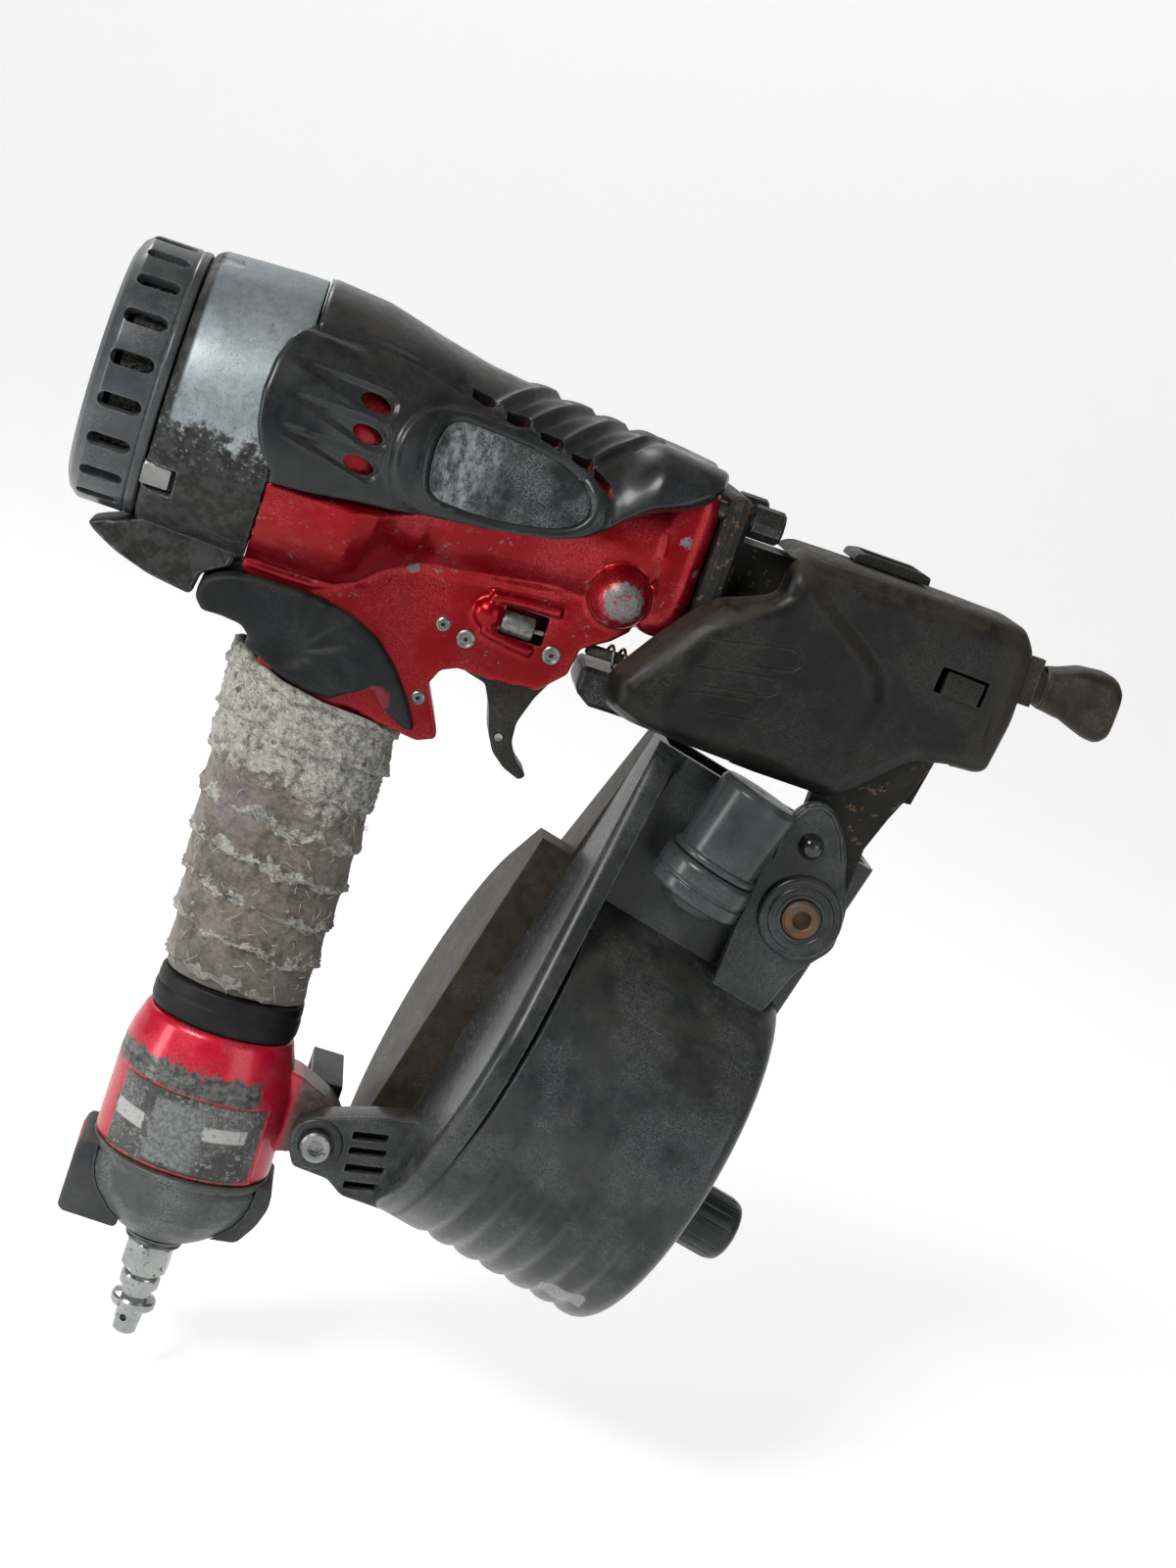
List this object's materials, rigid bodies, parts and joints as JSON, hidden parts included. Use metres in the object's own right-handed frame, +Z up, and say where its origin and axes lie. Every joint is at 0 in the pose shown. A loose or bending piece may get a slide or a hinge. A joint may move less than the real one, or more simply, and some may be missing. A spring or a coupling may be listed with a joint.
{
  "type": "pneumatic coil nail gun",
  "caption": "Hand-held pneumatic coil nail gun with pistol grip, round coil magazine under the nose, slotted exhaust cap and air plug.",
  "frame": {"origin": "centre of the grip, on the handle axis", "axes": "+X towards the nose along the barrel, +Z up towards the barrel, +Y to the user's left"},
  "size_m": [0.2669, 0.1024, 0.278],
  "materials": {
    "cap_black_plastic": "matte, dusty",
    "filter_mesh": "dusty mesh",
    "head_grey_metal": "worn paint",
    "body_red_paint": "metallic red, chipped",
    "guard_black_rubber": "satin",
    "badge_film": "worn film",
    "bright_steel": "bright",
    "dark_steel": "black oxide",
    "liner_aluminium": "machined",
    "bumper_urethane": "urethane",
    "nose_casting_black": "black coated casting",
    "nose_cover_plastic": "dusty satin",
    "drum_black_plastic": "scratched satin",
    "cover_smoky_plastic": "smoky see-through",
    "grip_tape": "worn cloth tape",
    "grip_ring_rubber": "satin",
    "cup_grey": "dark grey coated",
    "foot_rubber": "matte",
    "blank_label": "blank worn film",
    "plug_chrome": "polished",
    "trigger_black": "black coated",
    "spring_steel": "wire",
    "rusty_bolt": "rusty",
    "valve_brass": "machined",
    "hook_black_steel": "black coated"
  },
  "bodies": {
    "tool": {"exhaust_cap": "cap_black_plastic", "exhaust_filter": "filter_mesh", "cylinder_head": "head_grey_metal", "cap_screw": "dark_steel", "head_valve_spring": "spring_steel", "body_housing": "body_red_paint", "body_guard": "guard_black_rubber", "badge_right": "badge_film", "badge_left": "badge_film", "cylinder_liner": "liner_aluminium", "piston_bumper": "bumper_urethane", "nose_casting": "nose_casting_black", "nose_bolt_1": "dark_steel", "nose_bolt_2": "dark_steel", "nose_bolt_3": "dark_steel", "nose_bolt_4": "dark_steel", "nose_cover": "nose_cover_plastic", "contact_spring": "spring_steel", "roller_pin": "dark_steel", "rod_guide": "nose_casting_black", "trigger_valve": "valve_brass", "body_pin_1": "bright_steel", "body_pin_2": "bright_steel", "body_pin_3": "bright_steel", "body_pin_4": "bright_steel", "magazine_shell": "drum_black_plastic", "front_mount_bolt": "rusty_bolt", "dome_screw": "dark_steel", "rear_mount_bolt": "bright_steel", "feeder_cylinder": "drum_black_plastic", "feeder_cap": "drum_black_plastic", "grip_overmould": "guard_black_rubber", "grip_wrap": "grip_tape", "grip_ring": "grip_ring_rubber", "end_cap": "body_red_paint", "end_cup": "cup_grey", "foot_rear": "foot_rubber", "foot_front": "foot_rubber", "rating_label": "blank_label", "plug_collar": "dark_steel", "air_plug": "plug_chrome", "hook_screw": "dark_steel"},
    "trigger_group": {"trigger": "trigger_black", "trigger_cross_pin": "bright_steel"},
    "valve_plunger": {"trigger_plunger": "bright_steel"},
    "contact_element": {"contact_arm": "dark_steel"},
    "adjuster": {"depth_roller": "bright_steel"},
    "driver_piston": {"driver": "bright_steel"},
    "top_valve": {"head_valve": "liner_aluminium"},
    "feeder": {"feed_piston": "liner_aluminium"},
    "door": {"nose_door": "nose_casting_black"},
    "latch": {"door_latch": "nose_cover_plastic"},
    "coil_cover": {"magazine_cover": "cover_smoky_plastic"},
    "coil_platform": {"nail_platform": "drum_black_plastic"},
    "knob": {"platform_knob": "drum_black_plastic"},
    "hook": {"belt_hook": "hook_black_steel"}
  },
  "joints": [
    {"name": "trigger_pull", "type": "hinge", "parent": "tool", "child": "trigger_group", "pos_m": [0.049, 0, 0.0705], "axis": [0, 1, 0], "range_deg": [0, 8], "stiffness_Nm_per_rad": 0.4, "springref_deg": -5.73},
    {"name": "valve_press", "type": "slide", "parent": "tool", "child": "valve_plunger", "axis": [0, 0, 1], "range_m": [0, 0.0022]},
    {"name": "contact_press", "type": "slide", "parent": "tool", "child": "contact_element", "axis": [-1, 0, 0], "range_m": [0, 0.0095], "stiffness_N_per_m": 600, "springref_m": -0.01, "deforming": ["contact_spring"]},
    {"name": "depth_turn", "type": "hinge", "parent": "tool", "child": "adjuster", "pos_m": [0.0389, -0.0114, 0.0745], "axis": [1, 0, 0], "range_deg": [-180, 180]},
    {"name": "piston_drive", "type": "slide", "parent": "tool", "child": "driver_piston", "axis": [1, 0, 0], "range_m": [0, 0.078]},
    {"name": "head_valve_lift", "type": "slide", "parent": "tool", "child": "top_valve", "axis": [-1, 0, 0], "range_m": [0, 0.004], "stiffness_N_per_m": 1500, "springref_m": -0.004, "deforming": ["head_valve_spring"]},
    {"name": "feed_stroke", "type": "slide", "parent": "tool", "child": "feeder", "axis": [0.2588, 0, 0.9659], "range_m": [0, 0.008]},
    {"name": "door_open", "type": "hinge", "parent": "tool", "child": "door", "pos_m": [0.133, 0.0126, 0.0844], "axis": [1, 0, 0], "range_deg": [-100, 0]},
    {"name": "latch_lift", "type": "hinge", "parent": "tool", "child": "latch", "pos_m": [0.125, -0.003, 0.1169], "axis": [1, 0, 0], "range_deg": [0, 60]},
    {"name": "coil_cover_open", "type": "hinge", "parent": "tool", "child": "coil_cover", "pos_m": [0.07645, 0.0005, -0.08849], "axis": [0.9724, 0, -0.2334], "range_deg": [-100, 0]},
    {"name": "knob_turn", "type": "hinge", "parent": "tool", "child": "knob", "pos_m": [0.1302, -0.011, -0.05738], "axis": [0.9724, 0, -0.2334], "range_deg": [0, 360]},
    {"name": "platform_slide", "type": "slide", "parent": "tool", "child": "coil_platform", "axis": [0.9724, 0, -0.2334], "range_m": [0, 0.0099]},
    {"name": "hook_swing", "type": "hinge", "parent": "tool", "child": "hook", "pos_m": [0.0325, 0.0077, -0.067], "axis": [0, 1, 0], "range_deg": [-15, 40]}
  ],
  "couplings": [
    {"joint": "valve_press", "follows": "trigger_pull", "m_per_rad": 0.0148},
    {"joint": "knob_turn", "follows": "platform_slide", "rad_per_m": 628.3}
  ]
}
